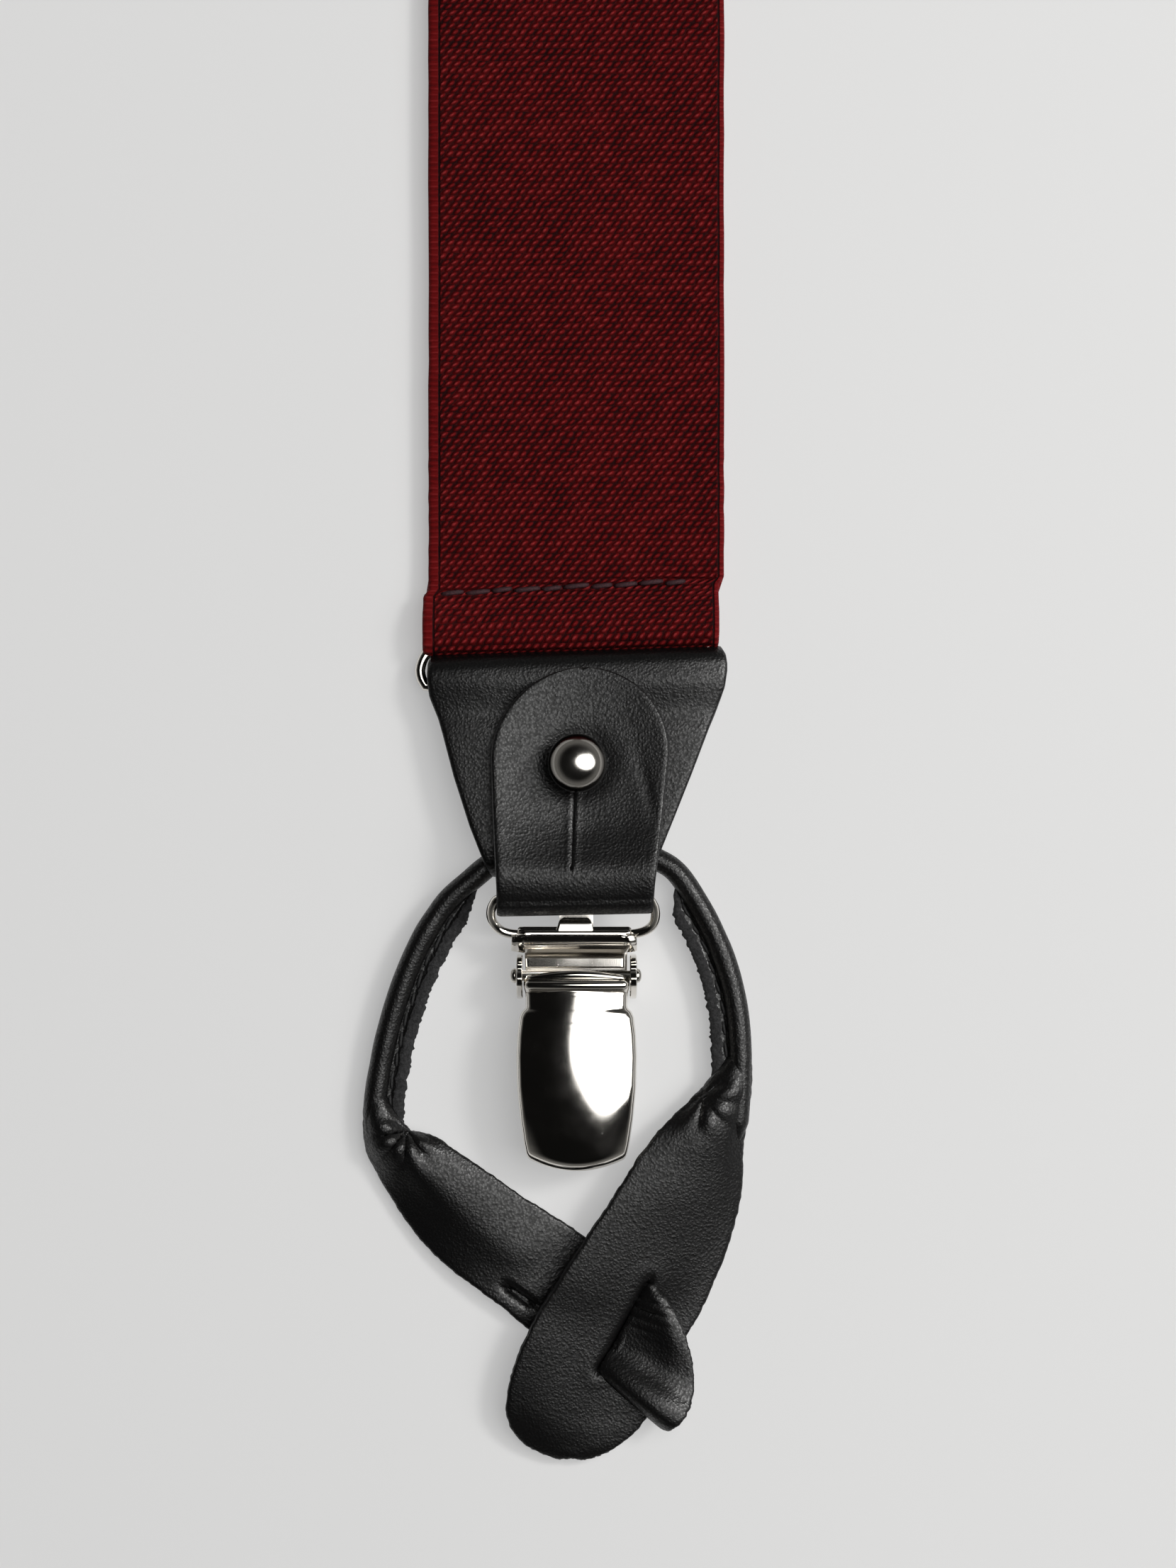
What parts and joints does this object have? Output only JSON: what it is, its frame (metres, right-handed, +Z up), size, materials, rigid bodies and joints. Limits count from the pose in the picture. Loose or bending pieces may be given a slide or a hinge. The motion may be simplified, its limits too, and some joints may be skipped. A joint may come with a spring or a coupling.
{
  "type": "suspenders",
  "caption": "Y-back elastic webbing suspenders with leather ends, each with a rolled button loop and a lever clip on a stud, laid out flat.",
  "frame": {"origin": "under the middle of the leather back patch, on the surface that the suspenders lie on", "axes": "+Z up off the surface, -Y towards the back end, +Y towards the two front ends"},
  "size_m": [0.2753, 0.9675, 0.0131],
  "materials": {
    "webbing": "burgundy woven elastic, matte",
    "leather": "black fine-grained, satin",
    "nickel": "polished nickel plate",
    "grip": "matte"
  },
  "bodies": {
    "root": {"back_strap": "webbing", "back_patch_front": "leather", "back_patch_rear": "leather", "left_strap": "webbing", "right_strap": "webbing"},
    "back_ring": {"back_webbing_ring": "nickel"},
    "back_band": {"back_yoke": "leather", "back_stud_base": "nickel", "back_stud_head": "nickel"},
    "back_loop": {"back_button_loop": "leather"},
    "back_tab": {"back_clip_tab": "leather"},
    "back_bail": {"back_d_ring": "nickel"},
    "back_clip": {"back_clip_base": "nickel", "back_clip_pin": "nickel", "back_clip_pad": "grip"},
    "back_cover": {"back_clip_lever": "nickel"},
    "back_jaw": {"back_clip_jaw": "nickel"},
    "left_ring": {"left_webbing_ring": "nickel"},
    "left_band": {"left_yoke": "leather", "left_stud_base": "nickel", "left_stud_head": "nickel"},
    "left_loop": {"left_button_loop": "leather"},
    "left_tab": {"left_clip_tab": "leather"},
    "left_bail": {"left_d_ring": "nickel"},
    "left_clip": {"left_clip_base": "nickel", "left_clip_pin": "nickel", "left_clip_pad": "grip"},
    "left_cover": {"left_clip_lever": "nickel"},
    "left_jaw": {"left_clip_jaw": "nickel"},
    "right_ring": {"right_webbing_ring": "nickel"},
    "right_band": {"right_yoke": "leather", "right_stud_base": "nickel", "right_stud_head": "nickel"},
    "right_loop": {"right_button_loop": "leather"},
    "right_tab": {"right_clip_tab": "leather"},
    "right_bail": {"right_d_ring": "nickel"},
    "right_clip": {"right_clip_base": "nickel", "right_clip_pin": "nickel", "right_clip_pad": "grip"},
    "right_cover": {"right_clip_lever": "nickel"},
    "right_jaw": {"right_clip_jaw": "nickel"},
    "left_slider": {"left_adjuster_frame": "nickel", "left_adjuster_pin": "nickel"},
    "left_flap": {"left_adjuster_lever": "nickel"},
    "right_slider": {"right_adjuster_frame": "nickel", "right_adjuster_pin": "nickel"},
    "right_flap": {"right_adjuster_lever": "nickel"}
  },
  "joints": [
    {"name": "back_ring_swing", "type": "hinge", "parent": "root", "child": "back_ring", "pos_m": [0, -0.215, 0.0023], "axis": [-1, 0, 0], "range_deg": [-45, 80]},
    {"name": "back_yoke_swing", "type": "hinge", "parent": "back_ring", "child": "back_band", "pos_m": [0, -0.22095, 0.0023], "axis": [-1, 0, 0], "range_deg": [-60, 30]},
    {"name": "back_loop_swing", "type": "hinge", "parent": "back_band", "child": "back_loop", "pos_m": [0, -0.24085, 0.0027], "axis": [-1, 0, 0], "range_deg": [-45, 80]},
    {"name": "back_tab_turn", "type": "hinge", "parent": "back_band", "child": "back_tab", "pos_m": [0, -0.23025, 0], "axis": [0, 0, 1], "range_deg": [-10, 1]},
    {"name": "back_d_ring_swing", "type": "hinge", "parent": "back_tab", "child": "back_bail", "pos_m": [0, -0.24615, 0.0077], "axis": [-1, 0, 0], "range_deg": [-20, 60]},
    {"name": "back_clip_swing", "type": "hinge", "parent": "back_bail", "child": "back_clip", "pos_m": [0, -0.25046, 0.00479], "axis": [-1, 0, 0], "range_deg": [-30, 30]},
    {"name": "back_lever_open", "type": "hinge", "parent": "back_clip", "child": "back_cover", "pos_m": [0, -0.25536, 0.00519], "axis": [-1, 0, 0], "range_deg": [0, 85]},
    {"name": "back_jaw_lift", "type": "hinge", "parent": "back_clip", "child": "back_jaw", "pos_m": [0, -0.25166, 0.00219], "axis": [-1, 0, 0], "range_deg": [0, 9]},
    {"name": "left_ring_swing", "type": "hinge", "parent": "root", "child": "left_ring", "pos_m": [-0.1058, 0.55746, 0.0023], "axis": [0.9877, 0.1564, 0], "range_deg": [-45, 80]},
    {"name": "left_yoke_swing", "type": "hinge", "parent": "left_ring", "child": "left_band", "pos_m": [-0.10673, 0.56334, 0.0023], "axis": [0.9877, 0.1564, 0], "range_deg": [-60, 30]},
    {"name": "left_loop_swing", "type": "hinge", "parent": "left_band", "child": "left_loop", "pos_m": [-0.10985, 0.58299, 0.0027], "axis": [0.9877, 0.1564, 0], "range_deg": [-45, 80]},
    {"name": "left_tab_turn", "type": "hinge", "parent": "left_band", "child": "left_tab", "pos_m": [-0.10819, 0.57252, 0], "axis": [0, 0, 1], "range_deg": [-10, 1]},
    {"name": "left_d_ring_swing", "type": "hinge", "parent": "left_tab", "child": "left_bail", "pos_m": [-0.11068, 0.58822, 0.0077], "axis": [0.9877, 0.1564, 0], "range_deg": [-20, 60]},
    {"name": "left_clip_swing", "type": "hinge", "parent": "left_bail", "child": "left_clip", "pos_m": [-0.11135, 0.59248, 0.00479], "axis": [0.9877, 0.1564, 0], "range_deg": [-30, 30]},
    {"name": "left_lever_open", "type": "hinge", "parent": "left_clip", "child": "left_cover", "pos_m": [-0.11212, 0.59732, 0.00519], "axis": [0.9877, 0.1564, 0], "range_deg": [0, 85]},
    {"name": "left_jaw_lift", "type": "hinge", "parent": "left_clip", "child": "left_jaw", "pos_m": [-0.11154, 0.59367, 0.00219], "axis": [0.9877, 0.1564, 0], "range_deg": [0, 9]},
    {"name": "right_ring_swing", "type": "hinge", "parent": "root", "child": "right_ring", "pos_m": [0.1058, 0.55746, 0.0023], "axis": [0.9877, -0.1564, 0], "range_deg": [-45, 80]},
    {"name": "right_yoke_swing", "type": "hinge", "parent": "right_ring", "child": "right_band", "pos_m": [0.10673, 0.56334, 0.0023], "axis": [0.9877, -0.1564, 0], "range_deg": [-60, 30]},
    {"name": "right_loop_swing", "type": "hinge", "parent": "right_band", "child": "right_loop", "pos_m": [0.10985, 0.58299, 0.0027], "axis": [0.9877, -0.1564, 0], "range_deg": [-45, 80]},
    {"name": "right_tab_turn", "type": "hinge", "parent": "right_band", "child": "right_tab", "pos_m": [0.10819, 0.57252, 0], "axis": [0, 0, 1], "range_deg": [-10, 1]},
    {"name": "right_d_ring_swing", "type": "hinge", "parent": "right_tab", "child": "right_bail", "pos_m": [0.11068, 0.58822, 0.0077], "axis": [0.9877, -0.1564, 0], "range_deg": [-20, 60]},
    {"name": "right_clip_swing", "type": "hinge", "parent": "right_bail", "child": "right_clip", "pos_m": [0.11135, 0.59248, 0.00479], "axis": [0.9877, -0.1564, 0], "range_deg": [-30, 30]},
    {"name": "right_lever_open", "type": "hinge", "parent": "right_clip", "child": "right_cover", "pos_m": [0.11212, 0.59732, 0.00519], "axis": [0.9877, -0.1564, 0], "range_deg": [0, 85]},
    {"name": "right_jaw_lift", "type": "hinge", "parent": "right_clip", "child": "right_jaw", "pos_m": [0.11154, 0.59367, 0.00219], "axis": [0.9877, -0.1564, 0], "range_deg": [0, 9]},
    {"name": "left_slider_travel", "type": "slide", "parent": "root", "child": "left_slider", "axis": [0.1564, -0.9877, 0], "range_m": [-0.06, 0.045]},
    {"name": "left_slider_flap_open", "type": "hinge", "parent": "left_slider", "child": "left_flap", "pos_m": [-0.08087, 0.40002, 0.0049], "axis": [0.9877, 0.1564, 0], "range_deg": [0, 110]},
    {"name": "right_slider_travel", "type": "slide", "parent": "root", "child": "right_slider", "axis": [-0.1564, -0.9877, 0], "range_m": [-0.06, 0.045]},
    {"name": "right_slider_flap_open", "type": "hinge", "parent": "right_slider", "child": "right_flap", "pos_m": [0.08087, 0.40002, 0.0049], "axis": [0.9877, -0.1564, 0], "range_deg": [0, 110]}
  ],
  "couplings": [
    {"joint": "back_jaw_lift", "follows": "back_lever_open", "ratio": 0.1},
    {"joint": "left_jaw_lift", "follows": "left_lever_open", "ratio": 0.1},
    {"joint": "right_jaw_lift", "follows": "right_lever_open", "ratio": 0.1}
  ]
}
